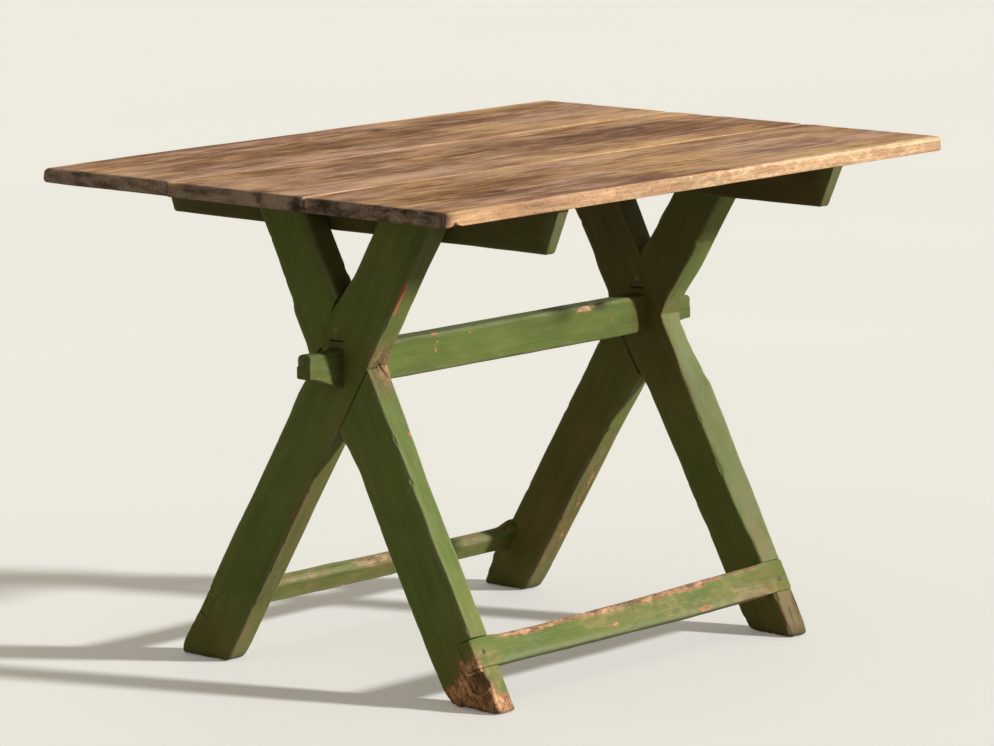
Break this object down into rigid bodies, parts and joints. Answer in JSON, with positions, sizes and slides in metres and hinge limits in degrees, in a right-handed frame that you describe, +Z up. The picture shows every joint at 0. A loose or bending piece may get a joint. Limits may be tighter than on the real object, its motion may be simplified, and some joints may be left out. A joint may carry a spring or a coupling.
{
  "type": "sawbuck table",
  "caption": "Rustic board-topped table on crossed-leg trestles joined by a through-tenoned stretcher and low foot rails.",
  "frame": {"origin": "on the floor under the middle of the top", "axes": "+Z up, +X along the boards, -Y towards the front long side, left trestle at -X"},
  "size_m": [1.088, 0.793, 0.74],
  "materials": {
    "weathered_pine": "worn bare wood, dry and uneven",
    "green_painted_pine": "old green oil paint, worn through at the edges",
    "dark_iron": "dark rusted iron"
  },
  "bodies": {
    "root": {"front_board": "weathered_pine", "middle_board": "weathered_pine", "back_board": "weathered_pine", "left_batten": "green_painted_pine", "right_batten": "green_painted_pine", "left_front_leg": "green_painted_pine", "left_back_leg": "green_painted_pine", "right_front_leg": "green_painted_pine", "right_back_leg": "green_painted_pine", "center_stretcher": "green_painted_pine", "left_tenon_wedge": "green_painted_pine", "right_tenon_wedge": "green_painted_pine", "front_foot_rail": "green_painted_pine", "back_foot_rail": "green_painted_pine", "left_leg_pegs": "green_painted_pine", "right_leg_pegs": "green_painted_pine", "left_lap_peg": "green_painted_pine", "right_lap_peg": "green_painted_pine", "front_rail_nails": "dark_iron", "back_rail_nails": "dark_iron"}
  },
  "joints": []
}
